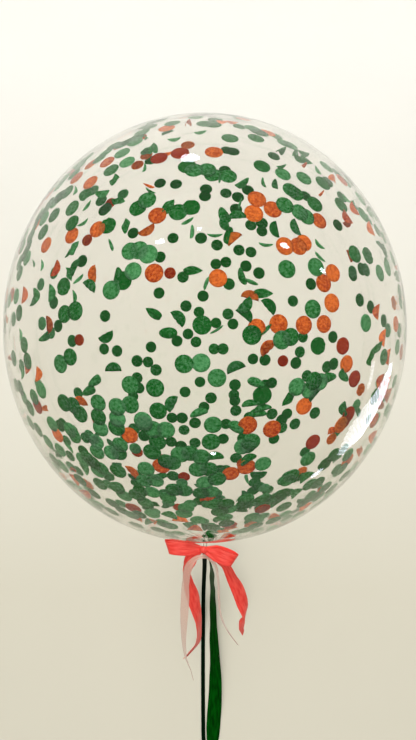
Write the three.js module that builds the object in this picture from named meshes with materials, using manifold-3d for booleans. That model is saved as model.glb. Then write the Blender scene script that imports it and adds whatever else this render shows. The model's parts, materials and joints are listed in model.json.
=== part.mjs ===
import * as THREE from 'three';
import { mergeVertices } from 'three/addons/utils/BufferGeometryUtils.js';
import Module from 'manifold-3d';

// A clear bubble balloon lying on its side, tied with ribbons. Millimetres, Z up.
// The balloon's own axis runs along Y with its neck toward -Y. The origin is the middle of the
// small flat spot that it rests on, and the floor is Z = 0.

const wasm = await Module();
wasm.setup();

// Film
const balloonWidth = 550;
const balloonLength = 585; // crown to pole, without the neck
const restSpotWidth = 90; // the flat spot, across X
const neckWidth = 6; // gathered film inside the bow's knot
const shoulderWidth = 58; // where the film starts to draw in to the neck
const gatherReach = 95; // how far from the axis the pleats run out
const pleatCount = 16;
const pleatDepth = 1.8;

// Coral ribbon
const coralWidth = 19;
const coralThickness = 1; // the solid's; the real satin is thinner
const coralGathered = 8; // its width where the knot grips it
const knotWidth = 12;
const knotLength = 10.6; // along the neck
const knotHeight = 9;
const knotDrop = 15; // pole of the balloon to the middle of the knot
const knotShift = -1.7; // the knot sits slightly left of the neck
const leftLoopReach = 52;
const leftLoopHeight = 11;
const rightLoopReach = 46;
const rightLoopHeight = 13;

// Sheer blush ribbon
const blushWidth = 15;
const blushThickness = 0.8;
const blushGathered = 6;

// Green ribbons and the knot that ends them
const wideWidth = 25;
const narrowWidth = 7;
const greenThickness = 0.8;
const endKnotWidth = 26;
const endKnotLength = 16;
const endKnotHeight = 12.6;
const endKnotSeat = 0.45; // share of its length from its middle to the ribbons' ends
const cutEndLength = 30; // of each ribbon past the end knot

// Clearances
const fitGap = 0.3;
const floorGap = 0.2; // under what lies on the floor

// What follows from the sizes above
const halfWidth = balloonWidth / 2;
const halfLength = balloonLength / 2;
const centreHeight = halfWidth * Math.sqrt(1 - (restSpotWidth / balloonWidth) ** 2);
const knotPlace = new THREE.Vector3(knotShift, -halfLength - knotDrop, centreHeight);
const knotFoot = knotPlace.y - knotLength / 2;

const film = new THREE.MeshStandardMaterial({
  color: 0xf4f4ef, roughness: 0.05, metalness: 0, transparent: true, opacity: 0.3,
});
const coralSatin = new THREE.MeshStandardMaterial({ color: 0xec5a4a, roughness: 0.45, metalness: 0 });
const blushOrganza = new THREE.MeshStandardMaterial({ color: 0xdfbfa6, roughness: 0.5, metalness: 0 });
const greenSatin = new THREE.MeshStandardMaterial({ color: 0x063a14, roughness: 0.35, metalness: 0 });

// A closed geometry as a solid that can be joined and cut.
function solidFrom(geometry) {
  const bare = geometry.clone();
  bare.deleteAttribute('normal');
  bare.deleteAttribute('uv');
  const merged = mergeVertices(bare, 1e-4);
  const index = merged.index.array;
  const triangles = [];
  for (let i = 0; i < index.length; i += 3) {
    const [a, b, c] = [index[i], index[i + 1], index[i + 2]];
    if (a !== b && b !== c && c !== a) {
      triangles.push(a, b, c);
    }
  }
  return new wasm.Manifold(new wasm.Mesh({
    numProp: 3,
    vertProperties: new Float32Array(merged.attributes.position.array),
    triVerts: new Uint32Array(triangles),
  }));
}

function geometryFrom(solid) {
  const mesh = solid.getMesh();
  const geometry = new THREE.BufferGeometry();
  geometry.setAttribute('position', new THREE.BufferAttribute(mesh.vertProperties, 3));
  geometry.setIndex(new THREE.BufferAttribute(mesh.triVerts, 1));
  geometry.computeVertexNormals();
  return geometry;
}

function namedMesh(name, geometry, material) {
  const mesh = new THREE.Mesh(geometry, material);
  mesh.name = name;
  return mesh;
}

// The balloon: an oval turned on its axis, drawn in to the neck, with pleats round the neck and
// a flat spot underneath. Its own middle is at 0, 0, 0 here.
function bubbleProfile() {
  const ringCount = 30;
  const lowest = Math.acos(shoulderWidth / balloonWidth);
  const points = [];
  for (let i = 0; i <= ringCount; i += 1) {
    const angle = Math.PI / 2 - (i / ringCount) * (Math.PI / 2 + lowest);
    points.push(new THREE.Vector2(halfWidth * Math.cos(angle), halfLength * Math.sin(angle)));
  }
  points[0].x = 0;
  const shoulder = points[points.length - 1];
  const neckTop = new THREE.Vector2(neckWidth / 2, -halfLength - (knotDrop - knotLength / 2) / 2);
  const bend = new THREE.Vector2(neckWidth * 0.9, -halfLength - 1);
  const drawn = new THREE.QuadraticBezierCurve(shoulder, bend, neckTop).getPoints(7);
  points.push(...drawn.slice(1));
  const neckEnd = knotFoot + 2 * fitGap;
  points.push(new THREE.Vector2(neckWidth / 2, neckEnd));
  points.push(new THREE.Vector2(0, neckEnd));
  return points.reverse();
}

function pleat(geometry) {
  const place = geometry.attributes.position;
  const point = new THREE.Vector3();
  for (let i = 0; i < place.count; i += 1) {
    point.fromBufferAttribute(place, i);
    const fromAxis = Math.hypot(point.x, point.z);
    const outsideKnot = point.y > -halfLength - knotDrop / 2;
    if (point.y < 0 && outsideKnot && fromAxis > neckWidth / 4 && fromAxis < gatherReach) {
      const wave = Math.cos(pleatCount * Math.atan2(point.z, point.x));
      const hold = (1 - fromAxis / gatherReach) ** 2;
      const near = neckWidth / (neckWidth + fromAxis);
      place.setY(i, point.y + pleatDepth * wave * hold * (1 - near));
      const squeeze = 1 - 0.16 * (1 - wave) * hold * near;
      place.setX(i, point.x * squeeze);
      place.setZ(i, point.z * squeeze);
    }
  }
}

function bubble() {
  const turned = new THREE.LatheGeometry(bubbleProfile(), 4 * pleatCount);
  pleat(turned);
  const under = new THREE.BoxGeometry(balloonWidth, balloonLength, balloonWidth);
  under.translate(0, 0, -centreHeight - balloonWidth / 2);
  const body = solidFrom(turned).subtract(solidFrom(under));
  const mesh = namedMesh('bubble', geometryFrom(body), film);
  mesh.position.z = centreHeight;
  return mesh;
}

// A flat ribbon through stations of { at, side, width }. at is its middle and side the way that
// its width runs.
function ribbonGeometry(stations, thickness) {
  const places = [];
  const faces = [];
  const last = stations.length - 1;
  stations.forEach(({ at, side, width }, i) => {
    const before = stations[Math.max(i - 1, 0)].at;
    const after = stations[Math.min(i + 1, last)].at;
    const run = after.clone().sub(before).normalize();
    const across = side.clone().addScaledVector(run, -side.dot(run)).setLength(width / 2);
    const up = run.clone().cross(across).setLength(thickness / 2);
    for (const [a, u] of [[1, 1], [-1, 1], [-1, -1], [1, -1]]) {
      const corner = at.clone().addScaledVector(across, a).addScaledVector(up, u);
      places.push(corner.x, corner.y, corner.z);
    }
  });
  for (let i = 0; i < last; i += 1) {
    for (let k = 0; k < 4; k += 1) {
      const a = 4 * i + k;
      const b = 4 * i + ((k + 1) % 4);
      if (k === 2) { // split the same way as the face above it, so a twist can't cross them
        faces.push(a, b, a + 4, b, b + 4, a + 4);
      } else {
        faces.push(a, b, b + 4, a, b + 4, a + 4);
      }
    }
  }
  const end = 4 * last;
  faces.push(0, 3, 2, 0, 2, 1, end, end + 1, end + 2, end, end + 2, end + 3);
  const geometry = new THREE.BufferGeometry();
  geometry.setAttribute('position', new THREE.Float32BufferAttribute(places, 3));
  geometry.setIndex(faces);
  return geometry;
}

// Rows of [x, y, z, width, turn], x, y and z from the given place and turn in degrees about the
// run, 0 with the face up, made into evenly curved stations.
function freeStations(rows, from, stepCount) {
  const centres = rows.map(([x, y, z]) => new THREE.Vector3(x, y, z).add(from));
  const line = new THREE.CatmullRomCurve3(centres, false, 'centripetal');
  const up = new THREE.Vector3(0, 0, 1);
  const stations = [];
  for (let i = 0; i <= stepCount; i += 1) {
    const share = i / stepCount;
    const row = share * (rows.length - 1);
    const first = Math.min(Math.floor(row), rows.length - 2);
    const blend = row - first;
    const width = THREE.MathUtils.lerp(rows[first][3], rows[first + 1][3], blend);
    const turn = THREE.MathUtils.lerp(rows[first][4], rows[first + 1][4], blend) * (Math.PI / 180);
    const run = line.getTangent(share);
    const level = up.clone().cross(run).normalize();
    const raised = run.clone().cross(level);
    const side = level.multiplyScalar(Math.cos(turn)).addScaledVector(raised, Math.sin(turn));
    stations.push({ at: line.getPoint(share), side, width });
  }
  return stations;
}

// One loop of the bow: out from the knot, round a fold and back under itself.
function bowLoop({ reach, height, way, foldSide, backShift }) {
  const stepCount = 20;
  const heart = knotPlace.clone().add(new THREE.Vector3(0, 0, knotHeight / 2 + neckWidth / 2));
  const heading = new THREE.Vector3(...way).normalize();
  const gripSide = new THREE.Vector3(0, 1, 0);
  const outerSide = new THREE.Vector3(...foldSide).normalize();
  const stations = [];
  for (let i = 0; i <= stepCount; i += 1) {
    const turn = (2 * Math.PI * i) / stepCount;
    const out = (1 - Math.cos(turn)) / 2;
    const at = heart.clone().addScaledVector(heading, reach * out);
    at.z += height * Math.sin(turn) * out;
    const side = gripSide.clone().lerp(outerSide, out);
    if (i > stepCount / 2) {
      at.addScaledVector(side, backShift * out * (1 - out) * 4);
    }
    const flare = Math.min(1, out * 2.6);
    stations.push({ at, side, width: THREE.MathUtils.lerp(coralGathered, coralWidth, flare) });
  }
  const fold = stepCount / 2;
  const front = solidFrom(ribbonGeometry(stations.slice(0, fold + 1), coralThickness));
  const back = solidFrom(ribbonGeometry(stations.slice(fold), coralThickness));
  return front.add(back);
}

// The wrap round the neck and the rounded knot in front of it.
function bowKnot() {
  const inner = neckWidth / 2 + fitGap;
  const outer = knotWidth / 2;
  const half = knotLength / 2;
  const swell = outer * 0.85;
  const ring = new THREE.LatheGeometry([
    new THREE.Vector2(inner, -half),
    new THREE.Vector2(swell, -half),
    new THREE.Vector2(outer, -half / 2),
    new THREE.Vector2(outer, half / 2),
    new THREE.Vector2(swell, half),
    new THREE.Vector2(inner, half),
    new THREE.Vector2(inner, -half),
  ], 20);
  ring.translate(0, knotPlace.y, knotPlace.z);
  const lump = new THREE.SphereGeometry(0.5, 20, 12);
  lump.scale(knotWidth, knotLength, knotHeight);
  lump.translate(knotPlace.x, knotPlace.y, knotPlace.z + (neckWidth + knotHeight) / 2 + fitGap);
  return solidFrom(ring).add(solidFrom(lump));
}

// Tail rows are measured from the middle of the knot's wrap.
const leftTailRows = [
  [-3, 1, 7, coralGathered, 0],
  [-8.2, -3.4, 4.5, 11, 10],
  [-18.2, -15.8, -3.3, coralWidth, 25],
  [-24, -31.6, -9.3, coralWidth, 58],
  [-22.1, -49.7, -17.3, coralWidth, 40],
  [-18, -70, -27.3, coralWidth, 8],
  [-13.1, -92.8, -39.3, coralWidth, -35],
  [-8.2, -116.8, -53.3, coralWidth, -62],
  [-7.3, -143.1, -68.3, coralWidth, -68],
  [-10.4, -164.7, -81.3, coralWidth, -68],
  [-19.5, -180.8, -91.3, coralWidth, -66],
  [-29, -194.1, -99.3, 12, -60],
];
const rightTailRows = [
  [2, 1, 5, coralGathered, 0],
  [8, -3, 1, 11, 0],
  [18.5, -11, -4, 16, 15],
  [32.4, -29.6, -12.3, coralWidth, 45],
  [39.9, -46.5, -21.3, coralWidth, 30],
  [49.7, -69, -33.3, coralWidth, 0],
  [56.2, -90.4, -45.3, coralWidth, -22],
  [61.1, -108.5, -55.3, coralWidth, -60],
  [61.2, -121, -63.3, coralWidth, -88],
  [57.1, -133.6, -71.3, coralWidth, -112],
  [56, -148.6, -81.3, 12, -120],
];

function coralBow() {
  const left = bowLoop({
    reach: leftLoopReach, height: leftLoopHeight, way: [-52.3, 5, 0], foldSide: [-6.7, 19.2, 0],
    backShift: 0,
  });
  const right = bowLoop({
    reach: rightLoopReach, height: rightLoopHeight, way: [44.2, -15.1, 0], foldSide: [12.5, 18.7, 0],
    backShift: 2,
  });
  const leftTail = ribbonGeometry(freeStations(leftTailRows, knotPlace, 26), coralThickness);
  const rightTail = ribbonGeometry(freeStations(rightTailRows, knotPlace, 24), coralThickness);
  const neckHole = new THREE.LatheGeometry([
    new THREE.Vector2(0, -knotLength),
    new THREE.Vector2(neckWidth / 2 + fitGap, -knotLength),
    new THREE.Vector2(neckWidth / 2 + fitGap, knotLength),
    new THREE.Vector2(0, knotLength),
  ], 20);
  neckHole.translate(0, knotPlace.y, knotPlace.z);
  const body = bowKnot().add(left).add(right).add(solidFrom(leftTail)).add(solidFrom(rightTail));
  return namedMesh('coral_bow', geometryFrom(body.subtract(solidFrom(neckHole))), coralSatin);
}

// The sheer ribbon crosses the neck just under the knot and hangs in two tails.
const blushRows = [
  [-16.7, -228, -97, 3, 84],
  [-20.4, -210, -88, 10, 70],
  [-26.2, -186, -76, blushWidth, 40],
  [-28.8, -159, -62, blushWidth, 12],
  [-28.6, -131, -48, blushWidth, 0],
  [-27.8, -103, -34, blushWidth, 10],
  [-26.6, -75, -20, blushWidth, 30],
  [-25.8, -51, -8, blushWidth, 48],
  [-23.5, -33, 0.5, blushWidth, 40],
  [-18.5, -20, 6, 10, 20],
  [-10, -11, 8.5, blushGathered, 5],
];
const blushCrossing = [
  [-3, -9.4, 8, blushGathered, 0],
  [3, -10, 5.2, blushGathered, 0],
  [8, -13.2, 1.6, blushGathered, 10],
];
const blushRightRows = [
  [12.8, -19, -1, 8, 40],
  [18.1, -33.6, -11.3, blushWidth, 76],
  [20.8, -54, -22.3, blushWidth, 78],
  [21.7, -78.3, -35.3, blushWidth, 78],
  [23.7, -105, -49.3, blushWidth, 78],
  [30, -129.3, -63.3, blushWidth, 74],
  [40.1, -150.2, -75.3, 11, 70],
  [52, -169.7, -86.3, 3, 70],
];

function blushRibbon() {
  const rows = [...blushRows, ...blushCrossing, ...blushRightRows];
  const turned = rows.map(([x, y, z, width, turn], i) => (
    [x, y, z, width, i < blushRows.length ? -turn : turn]
  ));
  const geometry = ribbonGeometry(freeStations(turned, knotPlace, 56), blushThickness);
  return namedMesh('blush_ribbon', geometryFrom(solidFrom(geometry)), blushOrganza);
}

// The green ribbons' routes, from the knot down to the floor and along it.
const wideRoute = [
  [4.4, -315.5, 262, 5, 60],
  [4.3, -325, 234, 7, 70],
  [4.8, -335, 208, 10, 76],
  [5.4, -343, 187.5, 13, 76],
  [6.4, -352, 167.5, 17, 76],
  [8, -362, 146.5, 21, 76],
  [10.1, -375, 122.3, wideWidth, 76],
  [11, -393, 93.5, wideWidth, 75],
  [11.3, -412, 68.2, wideWidth, 73],
  [12.1, -431, 46.5, wideWidth, 71],
  [12.8, -450, 31, wideWidth, 69],
  [13.3, -482, 17.6, wideWidth, 64],
  [14.2, -512, 12.6, wideWidth, 59],
  [15, -539, 11, wideWidth, 53],
  [16.4, -561, 9.8, wideWidth, 47],
  [17.3, -586, 8.5, wideWidth, 40],
  [17.6, -611, 7.2, wideWidth, 32],
  [17.2, -633, 5.4, wideWidth, 22],
  [16.2, -655, 3.4, wideWidth, 12],
  [14.8, -677, 1.4, wideWidth, 3],
  [13.6, -697, 0.7, wideWidth, 0],
  [12.6, -715, 1, 22, 0],
  [10.5, -726, 2.6, 15, 0],
  [8.5, -732.6, 4.6, 10, 0],
];
const narrowRoute = [
  [-0.6, -313.8, 265.5, 4.5, 0],
  [-0.6, -325, 234, 6, 0],
  [-0.8, -335, 208, narrowWidth, 0],
  [-0.9, -343, 187.5, narrowWidth, 0],
  [-1, -352, 167.5, narrowWidth, 0],
  [-1.1, -362, 146.5, narrowWidth, 0],
  [-1.4, -375, 122.3, narrowWidth, 0],
  [-2.1, -398, 86.1, narrowWidth, 0],
  [-3, -424, 55, narrowWidth, 0],
  [-3.7, -448, 33, narrowWidth, 0],
  [-4.1, -475, 15.6, narrowWidth, 0],
  [-4.3, -502, 5.2, narrowWidth, 0],
  [-4.5, -530, 1, narrowWidth, 0],
  [-4.6, -557, 0.7, narrowWidth, 0],
  [-4.7, -597, 0.7, narrowWidth, 0],
  [-4.6, -640, 0.7, narrowWidth, 0],
  [-4.3, -683, 0.7, narrowWidth, 0],
  [-3.9, -712, 0.9, narrowWidth, 0],
  [-2.6, -725, 2.4, narrowWidth, 0],
  [-1, -732.6, 4.4, 5.5, 0],
];

function greenRibbon(name, route) {
  const stations = freeStations(route, new THREE.Vector3(), 3 * route.length);
  const geometry = ribbonGeometry(stations, greenThickness);
  return namedMesh(name, geometryFrom(solidFrom(geometry)), greenSatin);
}

// The end knot, where both green ribbons meet, with their two cut ends lying flat past it.
function endKnot() {
  const routeEnd = wideRoute[wideRoute.length - 1];
  const middleX = (routeEnd[0] + narrowRoute[narrowRoute.length - 1][0]) / 2;
  const lump = new THREE.SphereGeometry(0.5, 20, 14);
  lump.scale(endKnotWidth, endKnotLength, endKnotHeight);
  const middle = new THREE.Vector3(
    middleX, routeEnd[1] - fitGap - endKnotLength * endKnotSeat, floorGap + endKnotHeight / 2,
  );
  lump.translate(middle.x, middle.y, middle.z);
  const flat = floorGap + greenThickness / 2;
  const past = middle.y - endKnotLength / 2;
  const wideEnd = freeStations([
    [middle.x + 3, middle.y, middle.z, 10, 0],
    [middle.x + 6, past, flat + 2, 15, 0],
    [middle.x + 9, past - cutEndLength * 0.25, flat + floorGap, wideWidth, 0],
    [middle.x + 11, past - cutEndLength * 0.6, flat, wideWidth, 0],
    [middle.x + 13, past - cutEndLength, flat, wideWidth, 0],
  ], new THREE.Vector3(), 12);
  const narrowEnd = freeStations([
    [middle.x - 4, middle.y, middle.z, 5, 0],
    [middle.x - 8, past, flat + 2, narrowWidth, 0],
    [middle.x - 11, past - cutEndLength * 0.3, flat + floorGap, narrowWidth, 0],
    [middle.x - 14, past - cutEndLength * 0.8, flat, narrowWidth, 0],
  ], new THREE.Vector3(), 10);
  const body = solidFrom(lump)
    .add(solidFrom(ribbonGeometry(wideEnd, greenThickness)))
    .add(solidFrom(ribbonGeometry(narrowEnd, greenThickness)));
  return namedMesh('end_knot', geometryFrom(body), greenSatin);
}

const balloon = new THREE.Group();
balloon.add(
  bubble(),
  coralBow(),
  blushRibbon(),
  greenRibbon('green_ribbon_wide', wideRoute),
  greenRibbon('green_ribbon_narrow', narrowRoute),
  endKnot(),
);

export default balloon;
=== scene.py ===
import json
import math
import random

import bmesh
import bpy
from mathutils import Matrix, Vector, noise

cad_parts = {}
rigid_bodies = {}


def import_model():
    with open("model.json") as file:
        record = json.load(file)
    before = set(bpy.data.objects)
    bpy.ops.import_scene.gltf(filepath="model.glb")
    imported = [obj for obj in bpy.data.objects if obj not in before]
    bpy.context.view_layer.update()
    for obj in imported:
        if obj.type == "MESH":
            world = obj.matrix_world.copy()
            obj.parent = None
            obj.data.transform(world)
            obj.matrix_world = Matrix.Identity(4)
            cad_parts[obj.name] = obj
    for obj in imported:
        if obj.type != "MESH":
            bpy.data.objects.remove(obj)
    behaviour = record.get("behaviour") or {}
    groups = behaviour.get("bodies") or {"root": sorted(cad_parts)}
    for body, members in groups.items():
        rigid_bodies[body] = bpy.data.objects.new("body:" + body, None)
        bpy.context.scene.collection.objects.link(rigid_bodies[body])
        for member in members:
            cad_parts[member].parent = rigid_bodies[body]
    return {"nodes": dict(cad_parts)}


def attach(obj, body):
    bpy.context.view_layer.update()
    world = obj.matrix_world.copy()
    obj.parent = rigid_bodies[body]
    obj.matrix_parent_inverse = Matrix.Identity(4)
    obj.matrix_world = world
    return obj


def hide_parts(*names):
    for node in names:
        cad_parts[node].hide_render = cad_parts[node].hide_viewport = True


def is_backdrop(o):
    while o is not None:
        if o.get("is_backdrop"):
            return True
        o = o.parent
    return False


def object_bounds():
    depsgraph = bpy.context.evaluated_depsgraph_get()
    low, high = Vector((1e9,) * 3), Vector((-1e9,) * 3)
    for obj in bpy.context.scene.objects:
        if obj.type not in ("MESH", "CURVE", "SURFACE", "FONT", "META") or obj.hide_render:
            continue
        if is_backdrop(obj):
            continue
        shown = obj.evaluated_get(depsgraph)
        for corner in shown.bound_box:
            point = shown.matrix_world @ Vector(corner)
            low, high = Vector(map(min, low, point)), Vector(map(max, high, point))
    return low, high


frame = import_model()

scene = bpy.context.scene
for leftover in [thing for thing in scene.objects if thing.name in ("Cube", "Light", "Camera")]:
    bpy.data.objects.remove(leftover)
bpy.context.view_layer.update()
print("frame loaded:", ", ".join(sorted(frame["nodes"])))

# Camera, straight above the balloon, and the look of the picture
picture = {"wide": 416, "high": 740, "lens": 34.73, "sensor": 36.0, "eye": (0.00425, -0.0553, 1.2803)}
# How far light is followed, enough for the many layers of film and tissue
light = {"max_bounces": 20, "diffuse_bounces": 5, "glossy_bounces": 6, "transmission_bounces": 16,
         "transparent_max_bounces": 12, "caustics_reflective": False, "caustics_refractive": False}


def setCamera():
    cameraData = bpy.data.cameras.new("camera")
    cameraData.sensor_width = picture["sensor"]
    cameraData.sensor_fit = "AUTO"
    cameraData.lens = picture["lens"]
    camera = bpy.data.objects.new("camera", cameraData)
    camera.location = picture["eye"]
    scene.collection.objects.link(camera)
    scene.camera = camera
    scene.view_settings.view_transform = "Standard"
    scene.view_settings.look = "None"
    for setting, value in light.items():
        setattr(scene.cycles, setting, value)


def pictureRay(across, down):
    # The line of sight through one place of the picture, in its own pixels
    pixels = picture["lens"] / picture["sensor"] * picture["high"]
    return Vector(((across - picture["wide"] / 2) / pixels, (picture["high"] / 2 - down) / pixels, -1))


setCamera()
print("camera set")


# Small helpers for meshes and materials
def meshPiece(name, places, faces, smooth=True):
    mesh = bpy.data.meshes.new(name)
    mesh.from_pydata([tuple(place) for place in places], [], faces)
    mesh.validate()
    mesh.update()
    mesh.polygons.foreach_set("use_smooth", [smooth] * len(mesh.polygons))
    piece = bpy.data.objects.new(name, mesh)
    scene.collection.objects.link(piece)
    return piece


def ringFaces(ringCount, around, first=0, turned=False):
    # Four-sided faces between closed rings of points, numbered ring after ring from first
    faces = []
    for ring in range(ringCount - 1):
        for j in range(around):
            a, b = first + ring * around + j, first + ring * around + (j + 1) % around
            face = (a, b, b + around, a + around)
            faces.append(face[::-1] if turned else face)
    return faces


def feed(tree, node, inputs):
    # Each input gets its number or colour, or a link from the socket that feeds it
    for key, value in inputs.items():
        if isinstance(value, bpy.types.NodeSocket):
            tree.links.new(value, node.inputs[key])
        else:
            node.inputs[key].default_value = value


def newMaterial(name, finish):
    material = bpy.data.materials.new(name)
    material.use_nodes = True
    tree = material.node_tree
    shader = tree.nodes["Principled BSDF"]
    feed(tree, shader, finish)
    return material, tree, shader


def addNode(tree, kind, inputs={}, **settings):
    node = tree.nodes.new("ShaderNode" + kind)
    for key, value in settings.items():
        setattr(node, key, value)
    feed(tree, node, inputs)
    return node


def calculate(tree, operation, *values):
    return addNode(tree, "Math", dict(enumerate(values)), operation=operation).outputs[0]


def shareBetween(tree, value, start, end):
    # 0 at start, 1 at end
    return addNode(tree, "MapRange", {"Value": value, "From Min": start, "From Max": end}).outputs["Result"]


def blendColours(tree, factor, first, second):
    mix = addNode(tree, "Mix", data_type="RGBA")
    feed(tree, mix, {0: factor, 6: first, 7: second})
    return mix.outputs[2]


def bumpFrom(tree, height, strength, distance, shader, after=None):
    bump = addNode(tree, "Bump", {"Strength": strength, "Distance": distance, "Height": height})
    if after is not None:
        feed(tree, bump, {"Normal": after.outputs["Normal"]})
    feed(tree, shader, {"Normal": bump.outputs["Normal"]})
    return bump


def dress(piece, material, body="root"):
    piece.data.materials.clear()
    piece.data.materials.append(material)
    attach(piece, body)


# How every ribbon is made up: points across it, the folds where it is drawn in, the ripple in its hang
ribbonForm = {
    "across": 14, "folds": 2, "mostDrawnIn": 3.2, "leastWidth": 0.0005, "foldStart": 0.6, "foldDepth": 0.62,
    "ripplePace": 95, "rippleLean": 1.7, "rippleMiddle": 0.4, "lookAhead": 0.01,
    "weldGap": 1e-6, "thinEdge": 1e-7,
}
millimetre = 0.001


# Ribbon runs: rows of (x, y, z, width, turn) in millimetres, turn in degrees about the run
def smoothRun(centres, step):
    first = min(int(step), len(centres) - 2)
    share = step - first
    b, c = centres[first], centres[first + 1]
    a = centres[first - 1] if first > 0 else 2 * b - c
    d = centres[first + 2] if first + 2 < len(centres) else 2 * c - b
    ab, bc, cd = (math.sqrt((q - p).length) for p, q in ((a, b), (b, c), (c, d)))
    leave = ((b - a) / ab - (c - a) / (ab + bc) + (c - b) / bc) * bc
    reach = ((c - b) / bc - (d - b) / (bc + cd) + (d - c) / cd) * bc
    return (b + leave * share + (3 * (c - b) - 2 * leave - reach) * share ** 2
            + (2 * (b - c) + leave + reach) * share ** 3)


def ribbonStations(rows, start, stepCount):
    centres = [Vector(row[:3]) * millimetre + start for row in rows]
    last = len(rows) - 1
    stations = []
    for i in range(stepCount + 1):
        step = last * i / stepCount
        first = min(int(step), last - 1)
        share = step - first
        width, turn = (rows[first][k] + (rows[first + 1][k] - rows[first][k]) * share for k in (3, 4))
        ahead = smoothRun(centres, min(step + ribbonForm["lookAhead"], last))
        run = (ahead - smoothRun(centres, max(step - ribbonForm["lookAhead"], 0))).normalized()
        level = Vector((0, 0, 1)).cross(run).normalized()
        raised = run.cross(level)
        turn = math.radians(turn)
        side = level * math.cos(turn) + raised * math.sin(turn)
        stations.append({"at": smoothRun(centres, step), "side": side, "width": width * millimetre})
    return stations


def ribbonPiece(name, stations, fullWidth, thickness, foldShare=1.0, ripple=0.0):
    # A thin closed strip. Where it is drawn in to less than its full width it stands in folds.
    across, folds = ribbonForm["across"], ribbonForm["folds"]
    places = []
    faces = []
    weave = []
    last = len(stations) - 1
    along = 0.0
    for i, station in enumerate(stations):
        before = stations[max(i - 1, 0)]["at"]
        after = stations[min(i + 1, last)]["at"]
        run = (after - before).normalized()
        side = (station["side"] - run * station["side"].dot(run)).normalized()
        up = run.cross(side)
        along += (station["at"] - before).length
        width = station["width"]
        drawnIn = min(max(fullWidth / max(width, ribbonForm["leastWidth"]), 1.0), ribbonForm["mostDrawnIn"])
        foldHeight = width / (2 * math.pi * folds) * math.sqrt(2 * (drawnIn ** 2 - 1))
        foldHeight *= station.get("foldShare", foldShare)
        middle = ribbonForm["rippleMiddle"]
        for layer in (0.5, -0.5):
            for j in range(across + 1):
                share = 2 * j / across - 1
                fold = math.sin(math.pi * folds * share + ribbonForm["foldStart"]) * ribbonForm["foldDepth"]
                wave = math.sin(along * ribbonForm["ripplePace"] + share * ribbonForm["rippleLean"])
                lift = foldHeight * fold + ripple * wave * (middle + (1 - middle) * share ** 2)
                place = station["at"] + side * (width / 2 * share) + up * (lift + layer * thickness)
                places.append(place)
                weave.append((j / across, along / fullWidth))
    row = across + 1
    for i in range(last):
        top = 2 * row * i
        for j in range(across):
            a, b = top + j, top + j + 1
            faces.append((a, b, b + 2 * row, a + 2 * row))
            faces.append((a + row, a + 3 * row, b + 3 * row, b + row))
        for edge, turned in ((top, False), (top + across, True)):
            rim = (edge, edge + 2 * row, edge + 3 * row, edge + row)
            faces.append(rim[::-1] if turned else rim)
    for top, turned in ((0, True), (2 * row * last, False)):
        for j in range(across):
            cap = (top + j, top + j + 1, top + row + j + 1, top + row + j)
            faces.append(cap[::-1] if turned else cap)
    piece = meshPiece(name, places, [face[::-1] for face in faces])
    addWeave(piece, weave)
    return piece


def addWeave(piece, weave):
    layer = piece.data.uv_layers.new(name="weave")
    for loop in piece.data.loops:
        layer.data[loop.index].uv = weave[loop.vertex_index]


def joinPieces(name, parts):
    for part in scene.objects:
        part.select_set(part in parts)
    bpy.context.view_layer.objects.active = parts[0]
    bpy.ops.object.join()
    joined = bpy.context.view_layer.objects.active
    joined.name = name
    joined.data.name = name
    return joined


def weld(piece, gap, thin=0.0):
    # Joins points that lie together, drops edges that are too thin and turns the faces outward
    shape = bmesh.new()
    shape.from_mesh(piece.data)
    bmesh.ops.remove_doubles(shape, verts=shape.verts, dist=gap)
    if thin:
        bmesh.ops.dissolve_degenerate(shape, dist=thin, edges=shape.edges)
    bmesh.ops.recalc_face_normals(shape, faces=shape.faces)
    shape.to_mesh(piece.data)
    shape.free()


def closedLump(name, places, faces, heart, size):
    piece = meshPiece(name, places, faces)
    weld(piece, ribbonForm["weldGap"], ribbonForm["thinEdge"])
    weave = []
    for corner in piece.data.vertices:
        place = corner.co - heart
        weave.append((0.5 + place.x / size[0] + place.z / size[2], place.y / size[1]))
    addWeave(piece, weave)
    return piece


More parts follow.
